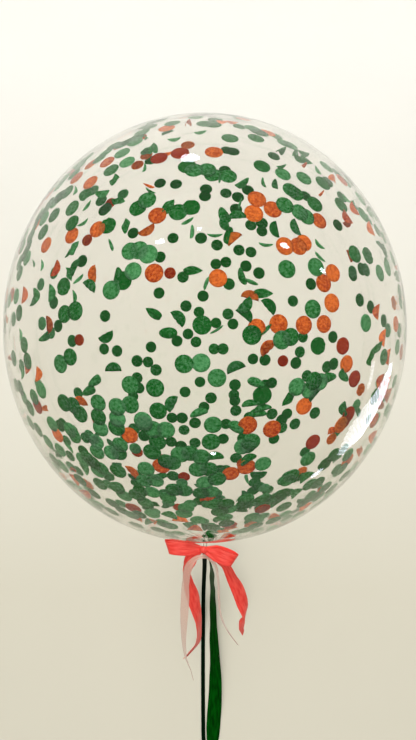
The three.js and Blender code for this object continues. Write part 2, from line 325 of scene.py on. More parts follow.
# Green satin: the wide ribbon, the narrow strand and the knot at their ends
greenRibbon = {
    "wide": 0.025, "narrow": 0.007, "thickness": 0.0005,
    "wideRoute": [
        (4.4, -315.5, 262, 5, 60), (4.3, -325, 234, 7, 70), (4.8, -335, 208, 10, 76),
        (5.4, -343, 187.5, 13, 76), (6.4, -352, 167.5, 17, 76), (8, -362, 146.5, 21, 76),
        (10.1, -375, 122.3, 25, 76), (11, -393, 93.5, 25, 75), (11.3, -412, 68.2, 25, 73),
        (12.1, -431, 46.5, 25, 71), (12.8, -450, 31, 25, 69), (13.3, -482, 17.6, 25, 64),
        (14.2, -512, 12.6, 25, 59), (15, -539, 11, 25, 53), (16.4, -561, 9.8, 25, 47),
        (17.3, -586, 8.5, 25, 40), (17.6, -611, 7.2, 25, 32), (17.2, -633, 5.4, 25, 22),
        (16.2, -655, 3.4, 25, 12), (14.8, -677, 1.4, 25, 3), (13.6, -697, 0.7, 25, 0),
        (12.6, -715, 1, 22, 0), (10.5, -726, 2.6, 15, 0), (8.5, -732.6, 4.6, 10, 0),
    ],
    "narrowRoute": [
        (-0.6, -313.8, 265.5, 4.5, 0), (-0.6, -325, 234, 6, 0), (-0.8, -335, 208, 7, 0),
        (-0.9, -343, 187.5, 7, 0), (-1, -352, 167.5, 7, 0), (-1.1, -362, 146.5, 7, 0),
        (-1.4, -375, 122.3, 7, 0), (-2.1, -398, 86.1, 7, 0), (-3, -424, 55, 7, 0),
        (-3.7, -448, 33, 7, 0), (-4.1, -475, 15.6, 7, 0), (-4.3, -502, 5.2, 7, 0),
        (-4.5, -530, 1, 7, 0), (-4.6, -557, 0.7, 7, 0), (-4.7, -597, 0.7, 7, 0),
        (-4.6, -640, 0.7, 7, 0), (-4.3, -683, 0.7, 7, 0), (-3.9, -712, 0.9, 7, 0),
        (-2.6, -725, 2.4, 7, 0), (-1, -732.6, 4.4, 5.5, 0),
    ],
    # past the knot the two cut ends lie on the floor
    "wideEnd": [(6.75, -740.1, 6.5, 10, 0), (9.75, -748.1, 2.6, 15, 0), (12.75, -755.6, 0.8, 25, 0),
                (14.75, -766.1, 0.7, 25, 0), (16.75, -778.1, 0.7, 25, 0)],
    "narrowEnd": [(-0.25, -740.1, 6.5, 5, 0), (-4.25, -748.1, 2.6, 7, 0), (-7.25, -757.1, 0.8, 7, 0),
                  (-10.25, -772.1, 0.7, 7, 0)],
    "knotSize": (0.026, 0.016, 0.0126), "knotMiddle": (0.00375, -0.7401, 0.0065),
    "knotTurns": 3, "knotDepth": 0.09, "foldShare": 0.55, "ripple": {"wide": 0.0004, "narrow": 0.0},
    "stepsPerRow": 8, "endSteps": 24,
    # each satin's dark and lit are a shaded and a lit copy, blended into painted sheen streaks
    "satins": {
        "wide": {"name": "dark green satin", "gloss": 0.03, "lens": 1.25,
                 "dark": (0.0005, 0.022, 0.0008, 1), "lit": (0.001, 0.085, 0.003, 1)},
        # the narrow strand's near-black colours are painted shade of the same green satin
        "narrow": {"name": "green satin in painted shade", "gloss": 0.01, "lens": 1.25,
                   "dark": (0.0008, 0.003, 0.001, 1), "lit": (0.002, 0.012, 0.004, 1)},
    },
}
# What all the satins share; painted sheen streaks run along the ribbon, threads across it
satinLook = {
    "roughness": 0.42, "sheenRoughness": 0.35, "stretch": (4, 0.7, 1),
    "sheenStreaks": {"Scale": 1.5, "Detail": 2.0, "Roughness": 0.5}, "sheenStreakRange": (0.3, 0.7),
    "streakBump": (0.2, 0.0006), "threads": {"Scale": 46, "Distortion": 0.6, "Detail": 1.0},
    "threadBump": (0.12, 0.0001),
}


def satinMaterial(name, dark, lit, gloss, lens=1.5, sheen=0.0):
    material, tree, shader = newMaterial(name, {
        "Roughness": satinLook["roughness"], "Specular IOR Level": gloss, "IOR": lens, "Sheen Weight": sheen,
        "Sheen Roughness": satinLook["sheenRoughness"]})
    uv = addNode(tree, "TexCoord").outputs["UV"]
    stretch = addNode(tree, "Mapping", {"Vector": uv, "Scale": satinLook["stretch"]}).outputs["Vector"]
    sheenStreaks = addNode(tree, "TexNoise", {"Vector": stretch, **satinLook["sheenStreaks"]}).outputs["Fac"]
    # painted sheen: the base colour is blended between a shaded and a lit copy of the satin along the streaks
    spread = shareBetween(tree, sheenStreaks, *satinLook["sheenStreakRange"])
    feed(tree, shader, {"Base Color": blendColours(tree, spread, dark, lit)})
    threads = addNode(tree, "TexWave", {"Vector": uv, **satinLook["threads"]}).outputs["Fac"]
    first = bumpFrom(tree, threads, *satinLook["threadBump"], shader)
    bumpFrom(tree, sheenStreaks, *satinLook["streakBump"], shader, after=first)
    return material


def knottedLump(name, size, middle):
    # A tied lump: an egg form with the ribbon's turns wound round it
    around, along = 48, 32
    turns, depth = greenRibbon["knotTurns"], greenRibbon["knotDepth"]
    places = []
    for i in range(along + 1):
        up = math.pi * i / along
        for j in range(around):
            turn = 2 * math.pi * j / around
            wound = 1 - depth * (0.5 + 0.5 * math.cos(turns * 2 * up + turn)) ** 3
            x = math.sin(up) * math.cos(turn) * wound
            y = math.cos(up) * (1 - depth * 0.4)
            z = math.sin(up) * math.sin(turn) * wound
            places.append(Vector(middle) + Vector((x * size[0], y * size[1], z * size[2])) / 2)
    return closedLump(name, places, ringFaces(along + 1, around), Vector(middle), size)


def makeGreenRibbons():
    satins = {part: satinMaterial(**look) for part, look in greenRibbon["satins"].items()}
    parts = [knottedLump("knot lump", greenRibbon["knotSize"], greenRibbon["knotMiddle"])]
    for part in satins:
        stations = ribbonStations(greenRibbon[part + "End"], Vector(), greenRibbon["endSteps"])
        parts.append(ribbonPiece("end", stations, greenRibbon[part], greenRibbon["thickness"]))
    knot = joinPieces("green_end_knot", parts)
    dress(knot, satins["wide"])
    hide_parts("end_knot")
    for part, satin in satins.items():
        rows = greenRibbon[part + "Route"]
        stations = ribbonStations(rows, Vector(), greenRibbon["stepsPerRow"] * len(rows))
        piece = ribbonPiece("green_satin_" + part, stations, greenRibbon[part], greenRibbon["thickness"],
                            greenRibbon["foldShare"], greenRibbon["ripple"][part])
        dress(piece, satin)
        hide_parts("green_ribbon_" + part)
        path = [station["at"] for station in stations]
        length = sum((b - a).length for a, b in zip(path, path[1:]))
        print("green ribbon tied:", part, round(length, 3))


makeGreenRibbons()


# Coral satin: one ribbon tied in a bow, its loops, tails and the knot over the neck
coralRibbon = {
    "width": 0.019, "drawnIn": 0.008, "thickness": 0.0005, "cutLength": 0.66,
    "knotMiddle": (-0.0017, -0.3075, 0.2713), "neck": 0.006,
    "knotSize": (0.012, 0.0106, 0.009), "knotLift": 0.0003, "creases": 9, "creaseDepth": 0.05,
    "loopSteps": 72, "loopFolds": 0.5, "flare": 2.6,
    "tailSteps": 96, "tailFolds": 0.6, "foldedSteps": 30, "ripple": 0.0005,
    "loops": {
        "left": {"reach": 0.052, "height": 0.011, "way": (-52.3, 5, 0), "foldSide": (-6.7, 19.2, 0),
                 "backShift": 0.0},
        "right": {"reach": 0.046, "height": 0.013, "way": (44.2, -15.1, 0), "foldSide": (12.5, 18.7, 0),
                  "backShift": 0.002},
    },
    "leftTail": [
        (-3, 1, 7, 8, 0), (-8.2, -3.4, 4.5, 11, 10), (-18.2, -15.8, -3.3, 19, 25),
        (-24, -31.6, -9.3, 19, 58), (-22.1, -49.7, -17.3, 19, 40), (-18, -70, -27.3, 19, 8),
        (-13.1, -92.8, -39.3, 19, -35), (-8.2, -116.8, -53.3, 19, -62), (-7.3, -143.1, -68.3, 19, -68),
        (-10.4, -164.7, -81.3, 19, -68), (-19.5, -180.8, -91.3, 19, -66), (-29, -194.1, -99.3, 12, -60),
    ],
    "rightTail": [
        (2, 1, 5, 8, 0), (8, -3, 1, 11, 0), (18.5, -11, -4, 16, 15), (32.4, -29.6, -12.3, 19, 45),
        (39.9, -46.5, -21.3, 19, 30), (49.7, -69, -33.3, 19, 0), (56.2, -90.4, -45.3, 19, -22),
        (61.1, -108.5, -55.3, 19, -60), (61.2, -121, -63.3, 19, -88), (57.1, -133.6, -71.3, 19, -112),
        (56, -148.6, -81.3, 12, -120),
    ],
    # dark and lit are a shaded and a lit copy of the coral, blended into painted sheen streaks
    "satin": {"name": "coral satin", "gloss": 0.22, "sheen": 0.05,
              "dark": (0.84, 0.036, 0.028, 1), "lit": (1.0, 0.11, 0.08, 1)},
}


def bowLoopStations(loop):
    stepCount = coralRibbon["loopSteps"]
    heart = Vector(coralRibbon["knotMiddle"])
    heart.z += (coralRibbon["knotSize"][2] + coralRibbon["neck"]) / 2
    heading = Vector(loop["way"]).normalized()
    outer = Vector(loop["foldSide"]).normalized()
    stations = []
    for i in range(stepCount + 1):
        turn = 2 * math.pi * i / stepCount
        out = (1 - math.cos(turn)) / 2
        side = Vector((0, 1, 0)).lerp(outer, out)
        at = heart + heading * (loop["reach"] * out)
        at.z += loop["height"] * math.sin(turn) * out
        if turn > math.pi:
            at += side * (loop["backShift"] * out * (1 - out) * 4)
        flare = min(1, out * coralRibbon["flare"])
        width = coralRibbon["drawnIn"] + (coralRibbon["width"] - coralRibbon["drawnIn"]) * flare
        stations.append({"at": at, "side": side, "width": width})
    return stations


def bowKnotPiece(size, middle):
    # The ribbon's turn over the neck: a soft band with creases that run along the neck
    around, along = 44, 26
    places = []
    heart = Vector(middle) + Vector((0, 0, (coralRibbon["neck"] + size[2]) / 2 + coralRibbon["knotLift"]))
    for i in range(along + 1):
        up = math.pi * i / along
        for j in range(around):
            turn = 2 * math.pi * j / around
            wave = math.cos(coralRibbon["creases"] * turn + 2 * math.cos(up))
            crease = 1 + coralRibbon["creaseDepth"] * wave * math.sin(up)
            x = math.sin(up) * math.cos(turn)
            z = math.sin(up) * math.sin(turn)
            square = (abs(x) ** 3 + abs(z) ** 3) ** (1 / 3) or 1
            x, z = (value / square * math.sin(up) * crease for value in (x, z))
            places.append(heart + Vector((x * size[0], math.cos(up) * size[1], z * size[2])) / 2)
    return closedLump("bow knot", places, ringFaces(along + 1, around), heart, size)


def makeCoralBow():
    width, thickness = coralRibbon["width"], coralRibbon["thickness"]
    start = Vector(coralRibbon["knotMiddle"])
    parts = [bowKnotPiece(coralRibbon["knotSize"], start)]
    for side, loop in coralRibbon["loops"].items():
        parts.append(ribbonPiece(side + " loop", bowLoopStations(loop), width, thickness,
                                 coralRibbon["loopFolds"]))
    for tail in ("leftTail", "rightTail"):
        stations = ribbonStations(coralRibbon[tail], start, coralRibbon["tailSteps"])
        for i, station in enumerate(stations):
            station["foldShare"] = coralRibbon["tailFolds"] if i < coralRibbon["foldedSteps"] else 0.0
        parts.append(ribbonPiece(tail, stations, width, thickness, ripple=coralRibbon["ripple"]))
    bow = joinPieces("coral_ribbon", parts)
    dress(bow, satinMaterial(**coralRibbon["satin"]))
    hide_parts("coral_bow")
    print("coral bow tied")


# Blush organza: a sheer ribbon that crosses the neck under the knot
blushRibbon = {
    "width": 0.015, "thickness": 0.0003, "cutLength": 0.47, "steps": 200, "foldShare": 0.3,
    "rows": [
        (-16.7, -228, -97, 3, -84), (-20.4, -210, -88, 9, -76), (-27.4, -186, -76, 12, -68),
        (-30.2, -159, -62, 14, -62), (-30.2, -131, -48, 15, -52), (-28.8, -103, -34, 15, -36),
        (-27, -75, -20, 15, -34), (-25.8, -51, -8, 15, -48), (-23.5, -33, 0.5, 15, -44),
        (-18.5, -20, 6, 10, -20), (-10, -11, 8.5, 6, -5), (-3, -9.4, 8, 6, 0), (3, -10, 5.2, 6, 0),
        (8, -13.2, 1.6, 6, 10), (12.8, -19, -1, 8, 40), (18.1, -33.6, -11.3, 15, 76),
        (20.8, -54, -22.3, 15, 78), (21.7, -78.3, -35.3, 15, 78), (23.7, -105, -49.3, 15, 78),
        (30, -129.3, -63.3, 15, 74), (40.1, -150.2, -75.3, 11, 70), (52, -169.7, -86.3, 3, 70),
    ],
    "colour": (0.93, 0.60, 0.47, 1), "between": (0.744, 0.48, 0.376, 1), "seeThrough": 0.5,
    "roughness": 0.55, "sheen": 0.4,
    "threads": {"Scale": 30.0, "Distortion": 0.4}, "threadBump": (0.15, 0.0001),
}


def makeBlushRibbon():
    material, tree, shader = newMaterial("blush organza", {
        "Roughness": blushRibbon["roughness"], "Sheen Weight": blushRibbon["sheen"],
        "Alpha": blushRibbon["seeThrough"]})
    uv = addNode(tree, "TexCoord").outputs["UV"]
    threads = addNode(tree, "TexWave", {"Vector": uv, **blushRibbon["threads"]}).outputs["Fac"]
    colour = blendColours(tree, threads, blushRibbon["colour"], blushRibbon["between"])
    feed(tree, shader, {"Base Color": colour})
    bumpFrom(tree, threads, *blushRibbon["threadBump"], shader)
    stations = ribbonStations(blushRibbon["rows"], Vector(coralRibbon["knotMiddle"]), blushRibbon["steps"])
    sheer = ribbonPiece("blush_ribbon_sheer", stations, blushRibbon["width"], blushRibbon["thickness"],
                        blushRibbon["foldShare"])
    dress(sheer, material)
    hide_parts("blush_ribbon")
    print("blush ribbon laid")


# The film: a thin shell, drawn in to the neck, with a small flat spot underneath
film = {
    "width": 0.55, "length": 0.585, "wall": 0.0003, "restSpot": 0.09, "neck": 0.006, "shoulder": 0.058,
    "gatherReach": 0.095, "pleats": 16, "pleatShare": 0.6, "finePleats": 27, "fineStart": 1.3,
    "fineShare": 0.25, "pleatDepth": 0.0018, "pleatEnd": 0.0075, "squeeze": 0.16,
    "neckFlare": 0.9, "neckDip": 0.001, "weldGap": 1e-7,
    "neckEnd": -0.3122, "neckTop": -0.2973, "around": 192, "along": 96, "neckRings": 24, "softEdge": 0.0012,
    "tint": (0.93, 0.922, 0.90, 1), "roughness": 0.01, "ior": 1.3,
    "rippleStretch": (14, 2.2, 14), "rippleBump": (0.1, 0.004),
    "ripples": {"Scale": 1.6, "Detail": 3.0, "Roughness": 0.45, "Distortion": 0.4},
    "creases": {"Scale": 22.0, "Detail": 4.0, "Roughness": 0.6, "Distortion": 0.5},
    "creaseFade": (0.05, -0.27), "creaseBump": (0.06, 0.001),
}
halfWidth, halfLength = film["width"] / 2, film["length"] / 2
centreHeight = halfWidth * math.sqrt(1 - (film["restSpot"] / film["width"]) ** 2)
centre = Vector((0, 0, centreHeight))


def filmProfile(inset):
    # Rings of (distance from the axis, place along it), crown first
    lowest = math.acos(film["shoulder"] / film["width"])
    rings = []
    for i in range(film["along"] + 1):
        angle = math.pi / 2 - i / film["along"] * (math.pi / 2 + lowest)
        rings.append(((halfWidth - inset) * max(math.cos(angle), 0.0),
                      (halfLength - inset) * math.sin(angle)))
    shoulder = rings[-1]
    bend = (film["neck"] * film["neckFlare"] - inset, -halfLength - film["neckDip"] + inset)
    end = (film["neck"] / 2 - inset, film["neckTop"])
    for i in range(1, film["neckRings"] + 1):
        t = i / film["neckRings"]
        rings.append(tuple((1 - t) ** 2 * a + 2 * t * (1 - t) * b + t ** 2 * c
                           for a, b, c in zip(shoulder, bend, end)))
    rings.append((end[0], film["neckEnd"]))
    return rings


def pleated(fromAxis, along, turn):
    # Folds that run out from the neck over the shoulder
    x, z = fromAxis * math.sin(turn), fromAxis * math.cos(turn)
    onShoulder = -halfLength - film["pleatEnd"] < along < 0
    if onShoulder and film["neck"] / 4 < fromAxis < film["gatherReach"]:
        wave = math.cos(film["pleats"] * turn) * film["pleatShare"]
        wave += math.cos(film["finePleats"] * turn + film["fineStart"]) * film["fineShare"]
        hold = (1 - fromAxis / film["gatherReach"]) ** 2
        near = film["neck"] / (film["neck"] + fromAxis)
        along += film["pleatDepth"] * wave * hold * (1 - near)
        squeeze = 1 - film["squeeze"] * (1 - wave) * hold * near
        x, z = x * squeeze, z * squeeze
    return x, along, z


def filmSurface(inset):
    places = []
    for fromAxis, along in filmProfile(inset):
        for j in range(film["around"]):
            x, y, z = pleated(fromAxis, along, 2 * math.pi * j / film["around"])
            height = z + centreHeight - inset
            height = (height + math.hypot(height, film["softEdge"])) / 2 + inset  # flat on the floor
            places.append(Vector((x, y, height)))
    return places


def filmMaterial():
    material, tree, shader = newMaterial("clear film", {
        "Base Color": film["tint"], "Transmission Weight": 1.0, "Roughness": film["roughness"],
        "IOR": film["ior"]})
    where = addNode(tree, "TexCoord").outputs["Object"]
    stretch = addNode(tree, "Mapping", {"Vector": where, "Scale": film["rippleStretch"]}).outputs["Vector"]
    ripples = addNode(tree, "TexNoise", {"Vector": stretch, **film["ripples"]}).outputs["Fac"]
    first = bumpFrom(tree, ripples, *film["rippleBump"], shader)
    # stretch lines that run out from the neck and fade toward the middle
    split = addNode(tree, "SeparateXYZ", {0: where}).outputs
    turn = calculate(tree, "ARCTAN2", split["X"], calculate(tree, "SUBTRACT", split["Z"], centreHeight))
    lines = addNode(tree, "CombineXYZ", {0: turn, 1: split["Y"]}).outputs[0]
    creases = addNode(tree, "TexNoise", {"Vector": lines, **film["creases"]}).outputs["Fac"]
    drawn = calculate(tree, "MULTIPLY", creases, shareBetween(tree, split["Y"], *film["creaseFade"]))
    bumpFrom(tree, drawn, *film["creaseBump"], shader, after=first)
    return material


def makeFilm():
    outer, inner = filmSurface(0.0), filmSurface(film["wall"])
    around = film["around"]
    ringCount = len(outer) // around
    faces = ringFaces(ringCount, around) + ringFaces(ringCount, around, len(outer), turned=True)
    last = (ringCount - 1) * around
    for j in range(around):
        a, b = last + j, last + (j + 1) % around
        faces.append((a, b, b + len(outer), a + len(outer)))
    shell = meshPiece("balloon_film", outer + inner, faces)
    weld(shell, film["weldGap"])
    dress(shell, filmMaterial())
    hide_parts("bubble")
    # the film is too clear to cast a shadow, and soft light passes it
    shell.visible_shadow = False
    shell.visible_diffuse = False
    print("film blown:", len(shell.data.polygons), "faces")
    return shell


# Tissue confetti, clinging to the inside of the film
tissue = {
    "seed": 19, "size": 0.0203, "sizeSpread": (0.95, 1.05), "turnSpread": 8, "foldSpread": 0.12,
    "thickness": 0.00012, "inset": 0.0009, "layer": 0.0005, "mostLayers": 9, "overlap": 0.95,
    "spokes": 20, "flatRings": 3, "foldedRings": 5, "clear": 0.0006, "floorClear": 0.0008, "neckClear": 0.002,
    "crinkle": 0.03, "crinklePitch": 1.6, "crumple": 0.16, "crumplePitch": 3.2,
    # a coarse crinkle and a fine one: how close, how deep, and how far it is shifted from the other
    "crinkles": ((1, 1.0, 0), (3, 0.3, 7)), "driftTone": (0.0, 0.7), "looseTone": (0.2, 1.0),
    "loose": 170, "looseGreen": 0.84, "settled": 0.35, "sideBand": 0.45, "crown": 0.9, "sideways": 0.9,
    "rimSeed": 7, "rimFacing": 0.32, "rimSlide": 0.07,
}
# Pieces whose places were read one by one, in the picture's pixels. A third number is the way that
# a folded piece points, in degrees from the picture's right.
# Each group's tone range is partly painted light: the far wall's pieces get darker tones as painted shade,
# the near wall's pieces paler tones as painted light, besides each piece's own random tone.
tissueSeen = [
    {"colour": "tissue_green", "wall": "near", "form": "flat", "shadeAndTone": (0.0, 0.95), "at": [
        (122, 153), (127, 162), (111, 170), (67, 192), (60, 196), (53, 200), (47, 207), (72, 208),
        (43, 218), (135, 142), (150, 127), (172, 122), (205, 121), (230, 138), (252, 128), (256, 138),
        (285, 142), (283, 174), (304, 178), (262, 166), (323, 183), (315, 204), (285, 205), (300, 212),
        (307, 216), (291, 190), (296, 193), (361, 198), (330, 162), (194, 170), (207, 169),
        (228, 176), (147, 200), (178, 212), (72, 223), (130, 251), (148, 254), (139, 250), (133, 271),
        (111, 290), (16, 272), (287, 269), (316, 267), (355, 254), (313, 309), (70, 357), (60, 364),
        (130, 385), (155, 388), (98, 403), (98, 417), (117, 407), (117, 419), (130, 405), (158, 411),
        (143, 421), (80, 414), (64, 403), (73, 406), (184, 364), (201, 363), (217, 378), (252, 335),
        (282, 340), (291, 337), (297, 387), (314, 381), (321, 382), (310, 390), (213, 425), (34, 397),
        (41, 390), (30, 408), (20, 388), (32, 422), (52, 424), (366, 323), (75, 311), (64, 314),
        (27, 258), (43, 232), (15, 296), (19, 313), (24, 345), (27, 361), (22, 398), (384, 357),
        (397, 347), (397, 292), (382, 229), (405, 308), (8, 325), (8, 359), (28, 236), (20, 245),
        (54, 215), (380, 273), (389, 268), (364, 214), (100, 429), (116, 428), (70, 430), (74, 436),
        (60, 450), (48, 442), (53, 461), (97, 452), (96, 442), (88, 458), (93, 463), (82, 460),
        (101, 469), (97, 472), (120, 445), (111, 453), (118, 453), (118, 471), (117, 488), (124, 496),
        (137, 495), (131, 515), (122, 511), (166, 430), (144, 424), (153, 430), (152, 452), (157, 443),
        (211, 442), (172, 463), (180, 455), (166, 462), (201, 457), (190, 454), (198, 470), (209, 470),
        (217, 480), (146, 469), (144, 481), (155, 481), (174, 490), (184, 491), (168, 498), (205, 484),
        (201, 495), (211, 494), (186, 508), (184, 514), (226, 504), (220, 512), (229, 510), (246, 499),
        (244, 506), (264, 499), (263, 464), (251, 442), (243, 447), (246, 529), (252, 517), (308, 459),
        (288, 480), (292, 476), (334, 455), (348, 455), (318, 483), (310, 485), (304, 504), (283, 494),
        (273, 500), (284, 507), (198, 520), (152, 493), (140, 492), (145, 503), (152, 514), (139, 515),
        (160, 121), (153, 123), (146, 124), (142, 132), (135, 134), (128, 137), (120, 141), (113, 145),
        (104, 150), (97, 155), (88, 158), (80, 164), (72, 172), (66, 180), (60, 186), (55, 196),
        (48, 203), (43, 211), (38, 219), (33, 227), (29, 235), (25, 243), (21, 252), (18, 262),
        (196, 119), (213, 123), (258, 131), (262, 128), (290, 145), (340, 171), (349, 181),
        (170, 526), (63, 466), (80, 480), (100, 484), (94, 494), (96, 502), (112, 504), (112, 511),
        (38, 430), (342, 469), (345, 476), (325, 487), (330, 487), (315, 497), (298, 513), (275, 525),
        (172, 535), (158, 529),
    ]},
    {"colour": "tissue_green", "wall": "near", "form": "half", "shadeAndTone": (-0.2, 0.3), "at": [
        (77, 268), (105, 334), (113, 372, 90), (176, 320), (229, 222), (238, 218), (237, 371),
        (243, 303), (243, 317), (278, 229), (299, 226), (317, 396), (174, 405), (267, 308), (88, 288),
        (91, 437, -45), (259, 473),
    ]},
    {"colour": "tissue_green", "wall": "near", "form": "drop", "shadeAndTone": (-0.2, 0.5), "at": [
        (113, 179, -90), (125, 226, -90), (68, 274), (73, 247), (118, 200), (193, 270), (153, 313),
        (264, 293), (289, 400, -135), (372, 357, 90), (168, 205), (380, 347), (153, 147), (158, 478),
    ]},
    {"colour": "tissue_green", "wall": "near", "form": "leaf", "shadeAndTone": (-0.2, 0.5), "at": [
        (102, 192), (282, 148), (242, 181), (225, 214), (229, 235), (243, 276), (94, 381, 40),
        (88, 391, 40), (330, 379), (345, 375), (345, 409), (256, 383), (251, 405), (263, 410),
        (258, 415), (199, 414), (168, 333), (116, 276), (43, 336), (34, 296), (49, 293), (222, 521, 0),
        (245, 509, 10), (249, 461, 40), (236, 428, -40), (308, 479, 20), (298, 495, 45),
        (278, 504, 45), (215, 459, 0), (205, 528, 90), (212, 533, 25), (205, 540, 90),
        (169, 517, -20), (82, 470, -60), (298, 151, 90), (305, 149, 30), (308, 157, -40), (302, 155, 0),
    ]},
    {"colour": "tissue_green", "wall": "near", "form": "sliver", "shadeAndTone": (0.2, 1.0), "at": [
        (174, 138, 0), (200, 131), (145, 135), (220, 177, 90), (240, 203), (187, 220), (192, 231, 90),
        (215, 234, 0), (266, 244, 0), (206, 283), (252, 281), (320, 244), (321, 256), (41, 265, 90),
        (73, 297, 90), (110, 245), (82, 222), (144, 167, 90), (86, 205), (74, 190, 90), (282, 165),
        (319, 170), (347, 198), (19, 335, 90), (21, 373, 90), (217, 330), (267, 330, 45), (77, 278),
        (150, 190, -45), (247, 480, -80), (68, 449, -30), (264, 182, -80),
    ]},
    {"colour": "tissue_green", "wall": "near", "form": "crumpled", "shadeAndTone": (-0.3, 0.2), "at": [
        (85, 193), (191, 206), (213, 173), (187, 165), (137, 207), (107, 225), (342, 204), (369, 255),
        (122, 280), (62, 286), (202, 325), (319, 346), (263, 396), (376, 397), (326, 465), (248, 447),
    ]},
    {"colour": "tissue_green", "wall": "far", "form": "flat", "shadeAndTone": (-0.3, 0.2), "at": [
        (151, 160), (160, 183), (176, 184), (225, 170), (206, 189), (205, 196), (226, 193), (238, 197),
        (248, 190), (236, 209), (274, 156), (306, 196), (104, 210), (82, 261), (133, 233), (173, 238),
        (201, 238), (217, 245), (160, 257), (239, 250), (251, 252), (246, 266), (259, 273), (159, 293),
        (183, 277), (203, 296), (186, 306), (199, 312), (228, 314), (229, 284), (216, 264), (226, 262),
        (262, 223), (262, 231), (251, 225), (293, 301), (311, 284), (338, 225), (362, 269), (353, 275),
        (360, 300), (371, 307), (105, 316), (227, 150), (233, 151), (104, 349), (117, 351), (137, 361),
        (148, 362), (156, 370), (151, 347), (177, 341), (196, 342), (188, 334), (216, 323), (233, 324),
        (214, 349), (223, 349), (253, 359), (265, 360), (200, 382), (185, 392), (211, 398), (204, 407),
        (182, 418), (172, 418), (195, 423), (226, 424), (235, 385), (234, 395), (235, 401), (236, 411),
        (265, 385), (272, 383), (272, 414), (287, 414), (295, 424), (315, 413), (327, 367), (334, 364),
        (296, 363), (300, 352), (303, 337), (333, 337), (72, 341), (78, 393), (139, 388), (137, 378),
        (133, 396), (58, 326), (307, 376), (282, 420), (249, 417), (60, 426), (134, 429), (144, 436),
        (184, 430), (181, 446), (195, 443), (223, 439), (171, 442), (274, 439), (282, 428), (236, 458),
        (173, 476), (220, 470), (253, 491), (305, 452), (243, 438), (83, 451), (70, 456),
    ]},
    {"colour": "tissue_orange", "wall": "near", "form": "flat", "shadeAndTone": (0.5, 1.0), "at": [
        (76, 177), (89, 161), (107, 162), (90, 182), (118, 140), (138, 135), (166, 125), (243, 121),
        (270, 127), (214, 152), (257, 199), (254, 213), (273, 209), (157, 215), (97, 229), (71, 235),
        (46, 245), (154, 273), (218, 278), (285, 246), (299, 246), (305, 242), (320, 220), (333, 273),
        (324, 283), (332, 303), (279, 324), (304, 325), (324, 324), (257, 328), (347, 364), (305, 407),
        (341, 425), (248, 426), (344, 178), (33, 222), (9, 296), (272, 429), (231, 475), (247, 468),
        (161, 467), (348, 461), (375, 421), (129, 436), (57, 435), (396, 324), (401, 352),
    ]},
    {"colour": "tissue_orange", "wall": "near", "form": "flat", "shadeAndTone": (-0.35, 0.0), "at": [
        (343, 346), (355, 379), (159, 158), (180, 153), (349, 415), (313, 442), (345, 422), (37, 406),
        (263, 510), (133, 509),
    ]},
    {"colour": "tissue_orange", "wall": "near", "form": "half", "shadeAndTone": (0.3, 0.9), "at": [
        (145, 227), (95, 273), (236, 240, 135), (250, 299, 80), (270, 350, 135), (46, 325, 0),
        (130, 473, 40), (380, 410, 60), (80, 405, 90),
    ]},
    {"colour": "tissue_orange", "wall": "near", "form": "leaf", "shadeAndTone": (0.2, 1.0), "at": [
        (188, 122, 90), (334, 178, 90), (356, 208, -50), (349, 216, -50), (373, 228, -60), (54, 268, 60),
        (22, 295, 80), (36, 374, 80), (24, 366, 90), (379, 312, 80), (386, 338, 80), (390, 357, 75),
        (382, 382, 65), (389, 384, 65), (391, 396, 60), (384, 398, 60), (195, 531, 0), (194, 538, 5),
        (222, 536, 10), (228, 541, 5), (134, 521, -15), (72, 482, -45), (84, 496, -40), (180, 522, 0),
        (374, 437, 60), (335, 433, -10), (230, 531, 30), (350, 467, 20), (324, 493, 30), (307, 509, 35),
    ]},
    {"colour": "tissue_orange", "wall": "near", "form": "sliver", "shadeAndTone": (0.3, 1.0), "at": [
        (306, 162), (322, 193, 60), (166, 152, 0), (222, 121, 0), (232, 123, 0), (149, 184),
    ]},
    {"colour": "tissue_orange", "wall": "near", "form": "drop", "shadeAndTone": (0.3, 0.8), "at": [
        (360, 452, -90), (208, 502, 30),
    ]},
    {"colour": "tissue_orange", "wall": "far", "form": "flat", "shadeAndTone": (-0.3, 0.3), "at": [
        (170, 273), (283, 361), (79, 340), (110, 203), (87, 240), (137, 452), (184, 477),
    ]},
]
# Drifts of further pieces: middle and spread in the picture's pixels, wall, count, share of green
drifts = [
    {"at": (110, 450), "spread": (32, 24), "wall": "far", "count": 26, "green": 0.9},
    {"at": (200, 495), "spread": (80, 18), "wall": "far", "count": 40, "green": 0.88},
    {"at": (205, 525), "spread": (45, 8), "wall": "near", "count": 12, "green": 0.8},
    {"at": (290, 490), "spread": (40, 14), "wall": "far", "count": 12, "green": 0.85},
]
# Of a hundred pieces that aren't placed one by one, how many have each form
looseShares = {"flat": 62, "half": 12, "leaf": 10, "sliver": 6, "drop": 4, "crumpled": 6}
looseForms = [form for form, share in looseShares.items() for _ in range(share)]
tissueColours = {
    "tissue_green": {"slot": "confetti_green", "deep": (0.0005, 0.21, 0.016, 1),
                     "pale": (0.19, 0.53, 0.245, 1)},
    "tissue_orange": {"slot": "confetti_orange", "deep": (0.46, 0.046, 0.003, 1),
                      "pale": (0.92, 0.33, 0.05, 1)},
}
# The tissue's own grain, how much the tone of a piece shifts it (partly painted shade and light), and the
# share of light let through
tissueLook = {
    "roughness": 0.6, "gloss": 0.06, "mottle": {"Scale": 330.0, "Detail": 5.0, "Roughness": 0.72},
    "grainRange": (0.40, 0.62), "grainShare": 0.8, "toneShare": 0.8, "toneShift": -0.33,
    "bump": (0.5, 0.0005), "through": 0.72,
}
